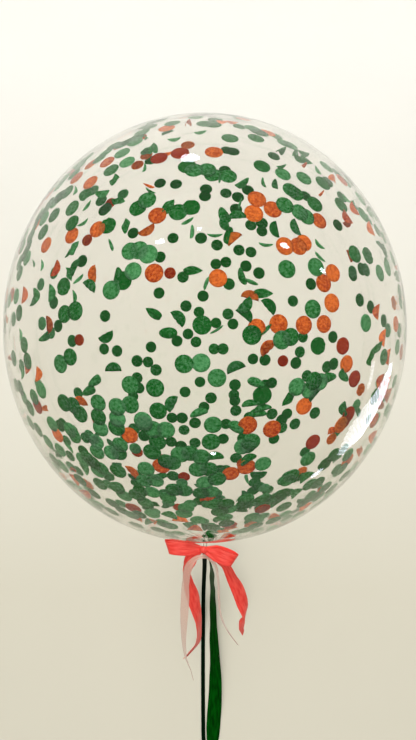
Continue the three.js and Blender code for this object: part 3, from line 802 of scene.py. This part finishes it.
# How a folded form departs from the flat circle, whose radius is 1
tissueFolds = {
    "half": {"soft": 0.1, "closed": math.radians(172)},
    "leaf": {"narrow": (0.36, 0.26)},
    "sliver": {"narrow": (0.13, 0.1), "long": 0.78, "bow": 0.07, "lift": 0.3},
    "drop": {"narrow": (0.38, 0.2), "pleats": 3, "lift": 0.22},
}


def wallPlace(across, down, wall, inset):
    # Where the line of sight meets the near or the far wall, or None past the balloon's edge
    eye, ray = Vector(picture["eye"]), pictureRay(across, down)
    wide, long = halfWidth - inset, halfLength - inset
    scale = Vector((1 / wide, 1 / long, 1 / wide))
    start = Vector(((eye - centre)[k] * scale[k] for k in range(3)))
    way = Vector((ray[k] * scale[k] for k in range(3)))
    a, b, c = way.dot(way), start.dot(way), start.dot(start) - 1
    root = b * b - a * c
    if root < 0:
        return None
    t = (-b - math.sqrt(root)) / a if wall == "near" else (-b + math.sqrt(root)) / a
    return eye + ray * t


def wallNormal(place):
    out = place - centre
    return Vector((out.x / halfWidth ** 2, out.y / halfLength ** 2, out.z / halfWidth ** 2)).normalized()


def ovalReach(out, inset):
    # 1 on the oval that lies inset within the film, less inside it
    wide, long = halfWidth - inset, halfLength - inset
    return math.sqrt((out.x / wide) ** 2 + (out.y / long) ** 2 + (out.z / wide) ** 2)


def slideByRim(place, across, down, draw):
    # By the balloon's rim the eye can't tell how far a piece lies along the line of sight
    sight = pictureRay(across, down).normalized()
    facing = abs(wallNormal(place).dot(sight)) / tissue["rimFacing"]
    if facing > 1:
        return place
    out = place + sight * (draw.uniform(-1, 1) * (1 - facing) * tissue["rimSlide"]) - centre
    return centre + out / ovalReach(out, tissue["inset"])


def scatterTissue(draw):
    pieces = []
    slide = random.Random(tissue["rimSeed"])

    def lay(place, colour, form, shadesAndTones, turn=None):
        if place is None or place.y < -halfLength + tissue["neckClear"]:
            return
        reach = tissue["size"] * tissue["overlap"]
        under = [other["layer"] for other in pieces if (other["place"] - place).length < reach]
        spread = tissue["turnSpread"]
        turn = draw.uniform(0, 360) if turn is None else turn + draw.uniform(-spread, spread)
        pieces.append({"place": place, "colour": colour, "form": form, "turn": math.radians(turn),
                       "layer": min(1 + max(under, default=-1), tissue["mostLayers"]),
                       "shadeAndTone": draw.uniform(*shadesAndTones), "seed": draw.uniform(0, 100),
                       "size": tissue["size"] * draw.uniform(*tissue["sizeSpread"])})

    for group in tissueSeen:
        for across, down, *turn in group["at"]:
            place = slideByRim(wallPlace(across, down, group["wall"], tissue["inset"]), across, down, slide)
            lay(place, group["colour"], group["form"], group["shadeAndTone"], turn[0] if turn else None)
    for drift in drifts:
        for _ in range(drift["count"]):
            across, down = (draw.gauss(m, s) for m, s in zip(drift["at"], drift["spread"]))
            colour = "tissue_green" if draw.random() < drift["green"] else "tissue_orange"
            lay(wallPlace(across, down, drift["wall"], tissue["inset"]), colour, draw.choice(looseForms),
                tissue["driftTone"])
    wanted = tissue["loose"]
    while wanted:
        way = Vector([draw.gauss(0, 1) for _ in range(3)]).normalized()
        # most of them low by the neck, round the sides and on the crown
        settled = tissue["settled"] + (1 - tissue["settled"]) * (1 - way.y) / 2
        beside = abs(way.z) < tissue["sideBand"] or way.y > tissue["crown"]
        if draw.random() < settled and beside:
            wide, long = halfWidth - tissue["inset"], halfLength - tissue["inset"]
            place = centre + Vector((way.x * wide, way.y * long, way.z * wide))
            lay(place, "tissue_green" if draw.random() < tissue["looseGreen"] else "tissue_orange",
                draw.choice(looseForms), tissue["looseTone"])
            wanted -= 1
    return pieces


def foldedPoint(u, v, form, amount):
    # A point of the flat circle after its fold; the third number is inward from the film
    fold = tissueFolds.get(form)
    if fold is None or (form == "half" and u >= amount):
        return u, v, 0.0
    if form == "half":  # folded over a line across the circle, the round side toward +u
        soft, closed = fold["soft"], fold["closed"]
        back = amount - u
        bend = min(back / soft, 1.0) * closed
        flat = max(back - soft, 0.0)
        run = soft / closed * math.sin(bend) + flat * math.cos(closed)
        return amount - run, v, soft / closed * (1 - math.cos(bend)) + flat * math.sin(closed)
    narrow = fold["narrow"][0] + fold["narrow"][1] * amount
    if form == "leaf":  # cupped along its long axis
        return u, v * narrow, (1 - narrow) * v * v
    if form == "sliver":  # folded over and over to a narrow slip, with a slight bow along it
        return u * fold["long"], v * narrow + fold["bow"] * u * u, fold["lift"] * v * v
    # a drop, drawn into a pleated cone, its tip toward +u
    reach, angle = math.hypot(1 - u, v), math.atan2(v, 1 - u)
    pleat = fold["lift"] * reach * abs(math.sin(fold["pleats"] * angle))
    return 1 - reach * math.cos(angle * narrow), reach * math.sin(angle * narrow), pleat


def tissueMesh(piece, places, faces, shadesAndTones, draw):
    normal = wallNormal(piece["place"])
    # turned from the picture's right, or from straight down where the wall faces sideways
    right = Vector((1, 0, 0)) if abs(normal.x) < tissue["sideways"] else Vector((0, 0, -1))
    right = (right - normal * right.dot(normal)).normalized()
    up = normal.cross(right)
    turn = piece["turn"] if normal.z > 0 else -piece["turn"]
    first = right * math.cos(turn) + up * math.sin(turn)
    second = normal.cross(first)
    radius = piece["size"] / 2
    spread = tissue["foldSpread"]
    amount = draw.random() if piece["form"] != "half" else draw.uniform(-spread, spread)
    crease = "crumple" if piece["form"] == "crumpled" else "crinkle"
    creaseDepth, pitch = tissue[crease], tissue[crease + "Pitch"]
    base = len(places)
    spokes = tissue["spokes"]
    rings = tissue["flatRings"] if piece["form"] == "flat" else tissue["foldedRings"]
    flat = [(0.0, 0.0)]
    for ring in range(1, rings + 1):
        share = ring / rings
        for spoke in range(spokes):
            angle = 2 * math.pi * spoke / spokes
            flat.append((share * math.cos(angle), share * math.sin(angle)))
    depth = piece["layer"] * tissue["layer"]
    for layer in (0, 1):
        for u, v in flat:
            foldedU, foldedV, lift = foldedPoint(u, v, piece["form"], amount)
            crinkle = 0.0
            for fine, strength, shift in tissue["crinkles"]:
                spot = Vector((u * fine * pitch, v * fine * pitch, piece["seed"] + shift))
                crinkle += noise.noise(spot) * creaseDepth * strength
            down = (lift + crinkle + creaseDepth) * radius + depth + layer * tissue["thickness"]
            place = piece["place"] + (first * foldedU + second * foldedV) * radius - normal * down
            # keep it inside the film as the wall curves away
            out = place - centre
            reach = ovalReach(out, tissue["clear"] + depth)
            if reach > 1:
                place = centre + out / reach - normal * (layer * tissue["thickness"])
            place.z = max(place.z, tissue["floorClear"] + depth + (1 - layer) * tissue["thickness"])
            places.append(place)
            shadesAndTones.append(piece["shadeAndTone"])
    count = len(flat)
    for layer in (0, 1):
        start = base + layer * count
        for spoke in range(spokes):
            a, b = start + 1 + spoke, start + 1 + (spoke + 1) % spokes
            face = (start, a, b)
            faces.append(face if layer == 0 else face[::-1])
        for ring in range(rings - 1):
            for spoke in range(spokes):
                a = start + 1 + ring * spokes + spoke
                b = start + 1 + ring * spokes + (spoke + 1) % spokes
                face = (a, a + spokes, b + spokes, b)
                faces.append(face if layer == 0 else face[::-1])
    for spoke in range(spokes):
        a = base + 1 + (rings - 1) * spokes + spoke
        b = base + 1 + (rings - 1) * spokes + (spoke + 1) % spokes
        faces.append((a, a + count, b + count, b))


def tissueMaterial(name, deep, pale):
    material, tree, shader = newMaterial(name, {
        "Roughness": tissueLook["roughness"], "Specular IOR Level": tissueLook["gloss"]})
    shadeAndTone = addNode(tree, "Attribute", attribute_name="shadeAndTone").outputs["Fac"]
    where = addNode(tree, "TexCoord").outputs["Object"]
    mottle = addNode(tree, "TexNoise", {"Vector": where, **tissueLook["mottle"]}).outputs["Fac"]
    grain = shareBetween(tree, mottle, *tissueLook["grainRange"])
    # the piece's tone, partly painted shade and light, shifts its colour between deep and pale
    lean = calculate(tree, "MULTIPLY_ADD", shadeAndTone, tissueLook["toneShare"], tissueLook["toneShift"])
    shade = calculate(tree, "MULTIPLY_ADD", grain, tissueLook["grainShare"], lean)
    colour = blendColours(tree, shade, deep, pale)
    feed(tree, shader, {"Base Color": colour})
    bump = bumpFrom(tree, mottle, *tissueLook["bump"], shader)
    through = addNode(tree, "BsdfTranslucent", {"Color": colour, "Normal": bump.outputs["Normal"]})
    mix = addNode(tree, "MixShader", {0: tissueLook["through"], 1: shader.outputs[0], 2: through.outputs[0]})
    feed(tree, tree.nodes["Material Output"], {"Surface": mix.outputs[0]})
    return material


def makeTissue():
    draw = random.Random(tissue["seed"])
    pieces = scatterTissue(draw)
    sheets = []
    for name, look in tissueColours.items():
        places, faces, shadesAndTones, rims = [], [], [], set()
        for piece in pieces:
            if piece["colour"] == name:
                tissueMesh(piece, places, faces, shadesAndTones, draw)
                rims.update(range(len(faces) - tissue["spokes"], len(faces)))
        sheet = meshPiece(name, places, faces)
        for polygon in sheet.data.polygons:  # the cut edge stays sharp
            polygon.use_smooth = polygon.index not in rims
        layer = sheet.data.attributes.new("shadeAndTone", "FLOAT", "POINT")
        layer.data.foreach_set("value", shadesAndTones)
        dress(sheet, tissueMaterial(name.replace("_", " "), look["deep"], look["pale"]))
        triangles = sum(len(polygon.vertices) - 2 for polygon in sheet.data.polygons)
        print(name, "scattered:", sum(piece["colour"] == name for piece in pieces), "circles,",
              triangles, "triangles")
        sheets.append(sheet)
    return sheets


makeCoralBow()
makeBlushRibbon()
filmShell = makeFilm()
tissueSheets = makeTissue()

# Floor and soft studio light
studio = {
    "floorSize": 6.0, "floorDrop": 0.0004, "floorRoughness": 0.85, "floorGloss": 0.1,
    # a shaded warm and a lit cool floor colour, blended along y: painted falloff of the light
    "floorShadedWarm": (0.605, 0.575, 0.47, 1), "floorLitCool": (0.77, 0.755, 0.705, 1), "floorFalloff": (-0.45, 0.5),
    "cloud": {"Scale": 2.3, "Detail": 3.0}, "cloudColour": (0.1, 0.1, 0.1, 1), "cloudShare": 0.06,
    "low": (0.34, 0.335, 0.315, 1), "high": (0.06, 0.06, 0.06, 1), "skyBlend": (0.0, 0.75),
    "backdrop": (0.88, 0.865, 0.82, 1), "windowLight": (0.80, 0.86, 1.0), "windowOverlap": 1.3,
}
# Lamps over the balloon: where each hangs, what it points at, its width and its power in watts
lampsAbove = {
    "key": {"place": (-0.12, 0.20, 2.6), "toward": (0, -0.05, 0.1), "size": 0.22, "power": 22,
            "colour": (1, 0.985, 0.95)},
    "overhead": {"place": (0.0, 0.6, 3.0), "toward": (0, 0, 0), "size": 3.0, "power": 68,
                 "colour": (1, 0.99, 0.97)},
    "top wash": {"place": (0.0, 1.6, 2.2), "toward": (0, 0.1, 0), "size": 1.6, "power": 32,
                 "colour": (0.97, 0.99, 1)},
}
lampShares = {"object": 0.85, "floor": 0.48}
# One that shines through the tissue from behind, and an even one that keeps the floor pale to its far edge
lampsBeside = {
    "behind the tissue": {"place": (0, 0, -0.5), "toward": (0, 0, 0.3), "size": 1.6, "power": 24,
                          "colour": (1, 0.98, 0.95), "on": "tissue"},
    "high over the floor": {"place": (0, 0, 9), "toward": (0, 0, 0), "size": 24, "power": 1400,
                            "colour": (1, 0.99, 0.97), "on": "floor"},
}
# Highlights in the film, by the place, width and height in the picture's pixels where they show
glints = {
    "top spot": {"at": (190, 158), "size": (20, 9), "far": 1.5, "glow": 16},
    "upper left": {"at": (160, 242), "size": (9, 6), "far": 1.8, "glow": 20},
    "upper middle": {"at": (199, 229), "size": (5, 4), "far": 1.8, "glow": 45},
    "right spot": {"at": (285, 246), "size": (8, 5), "far": 1.5, "glow": 45},
    "right dot": {"at": (323, 271), "size": (6, 5), "far": 1.2, "glow": 40},
    "low spot": {"at": (214, 454), "size": (7, 4), "far": 0.9, "glow": 60},
    "low dash": {"at": (317, 473), "size": (8, 4), "far": 0.6, "glow": 8},
}
# The window's two long highlights, by their left and right edges in the picture
windowStreaks = {
    "wide": {"left": [(389, 364), (386, 376), (378, 392), (365, 412), (353, 425), (342, 442), (338, 454)],
             "right": [(392, 364), (391, 376), (386, 390), (379, 405), (370, 420), (358, 436), (343, 455)],
             "far": 0.5, "glow": 5.6, "pieces": 24},
    "thin": {"left": [(371.5, 362), (370, 374), (367, 388)],
             "right": [(375.5, 362), (374, 374), (369, 389)],
             "far": 0.5, "glow": 3.4, "pieces": 6},
}


def makeFloor():
    half, height = studio["floorSize"], -studio["floorDrop"]
    corners = [(x * half, y * half, height) for x, y in ((-1, -1), (1, -1), (1, 1), (-1, 1))]
    floor = meshPiece("floor", corners, [(0, 1, 2, 3)], smooth=False)
    material, tree, shader = newMaterial("pale floor", {
        "Roughness": studio["floorRoughness"], "Specular IOR Level": studio["floorGloss"]})
    where = addNode(tree, "TexCoord").outputs["Object"]
    split = addNode(tree, "SeparateXYZ", {0: where}).outputs
    # painted light: lighter and cooler toward +y, darker and warmer toward -y
    away = shareBetween(tree, split["Y"], *studio["floorFalloff"])
    cloud = addNode(tree, "TexNoise", {"Vector": where, **studio["cloud"]}).outputs["Fac"]
    colour = blendColours(tree, away, studio["floorShadedWarm"], studio["floorLitCool"])
    darker = blendColours(tree, studio["cloudShare"], colour, studio["cloudColour"])
    feed(tree, shader, {"Base Color": blendColours(tree, cloud, colour, darker)})
    floor.data.materials.append(material)
    floor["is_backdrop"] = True
    return floor


def makeSky():
    # A pale backdrop; what the film mirrors is brighter low down and dim overhead
    sky = bpy.data.worlds.new("studio")
    scene.world = sky
    sky.use_nodes = True
    tree = sky.node_tree
    split = addNode(tree, "SeparateXYZ", {0: addNode(tree, "TexCoord").outputs["Generated"]}).outputs
    rise = shareBetween(tree, split["Z"], *studio["skyBlend"])
    mirrored = blendColours(tree, rise, studio["low"], studio["high"])
    path = addNode(tree, "LightPath").outputs
    straight = calculate(tree, "MAXIMUM", path["Is Camera Ray"], path["Is Transmission Ray"])
    colour = blendColours(tree, straight, mirrored, studio["backdrop"])
    feed(tree, tree.nodes["Background"], {"Color": colour})


def lampSet(name, things, state):
    chosen = bpy.data.collections.new(name)
    for thing in things:
        chosen.objects.link(thing)
    for member in chosen.collection_objects:
        member.light_linking.link_state = state
    return chosen


def addLamp(name, place, toward, size, power, colour, on, shape="DISK", high=None):
    lampData = bpy.data.lights.new(name, "AREA")
    lampData.shape = shape
    lampData.size, lampData.size_y = size, high or size
    lampData.energy = power
    lampData.color = colour
    lamp = bpy.data.objects.new(name, lampData)
    lamp.location = place
    lamp.rotation_euler = (Vector(toward) - Vector(place)).to_track_quat("-Z", "Y").to_euler()
    lamp.visible_camera = False
    lamp.light_linking.receiver_collection = lampSets[on]
    if on == "film":
        lamp.visible_diffuse = False
        lamp.visible_transmission = False
    if on == "floor":  # so that the floor seen through the balloon stays pale
        lamp.light_linking.blocker_collection = lampSets["past tissue"]
    if on == "tissue":  # the pale wall's light through the sheets, so that two layers look darker
        lamp.light_linking.blocker_collection = lampSets["tissue"]
        lamp.visible_glossy = False
        lamp.visible_transmission = False
    scene.collection.objects.link(lamp)
    return lamp


def seenBy(across, down, far):
    # The place that the film's near wall mirrors at one pixel of the picture
    place = wallPlace(across, down, "near", 0.0)
    normal = wallNormal(place)
    sight = (Vector(picture["eye"]) - place).normalized()
    return place, place + (2 * sight.dot(normal) * normal - sight) * far


def addGlint(name, corners, far, glow, shape, overlap=1.0):
    # A lamp that shows only as a highlight, between the four places that its corners mirror
    mirrored = [seenBy(across, down, far) for across, down in corners]
    middle = sum((pair[1] for pair in mirrored), Vector()) / 4
    toward = sum((pair[0] for pair in mirrored), Vector()) / 4
    left, right = (mirrored[0][1] + mirrored[3][1]) / 2, (mirrored[1][1] + mirrored[2][1]) / 2
    top, bottom = (mirrored[0][1] + mirrored[1][1]) / 2, (mirrored[3][1] + mirrored[2][1]) / 2
    wide, high = (right - left).length, (top - bottom).length * overlap
    lamp = addLamp(name, middle, toward, wide, glow * math.pi * wide * high, studio["windowLight"], "film",
                   shape, high)
    back = (middle - toward).normalized()
    rise = (top - bottom).normalized()
    side = rise.cross(back).normalized()
    lamp.rotation_euler = Matrix((side, back.cross(side), back)).transposed().to_euler()


studioFloor = makeFloor()
makeSky()
lampSets = {
    "object": lampSet("lit as the object", [filmShell, studioFloor], "EXCLUDE"),
    "floor": lampSet("lit as the floor", [studioFloor], "INCLUDE"),
    "film": lampSet("mirrored in the film", [filmShell], "INCLUDE"),
    "past tissue": lampSet("shining past the tissue", tissueSheets, "EXCLUDE"),
    "tissue": lampSet("lit from behind", tissueSheets, "INCLUDE"),
}
for on, share in lampShares.items():
    for name, lamp in lampsAbove.items():
        addLamp(name + " on " + on, on=on, **{**lamp, "power": lamp["power"] * share})
for name, lamp in lampsBeside.items():
    addLamp(name, **lamp)
for name, glint in glints.items():
    (x, y), (wide, high) = glint["at"], (value / 2 for value in glint["size"])
    corners = [(x - wide, y - high), (x + wide, y - high), (x + wide, y + high), (x - wide, y + high)]
    addGlint(name, corners, glint["far"], glint["glow"], "ELLIPSE")
for name, streak in windowStreaks.items():
    count = streak["pieces"]
    edges = []
    for side in ("left", "right"):
        seen = [Vector((*place, 0)) for place in streak[side]]
        edges.append([smoothRun(seen, (len(seen) - 1) * i / count)[:2] for i in range(count + 1)])
    left, right = edges
    for i in range(count):
        addGlint(name + " window " + str(i + 1), [left[i], right[i], right[i + 1], left[i + 1]],
                 streak["far"], streak["glow"], "RECTANGLE", studio["windowOverlap"])
print("studio lit")

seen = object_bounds()
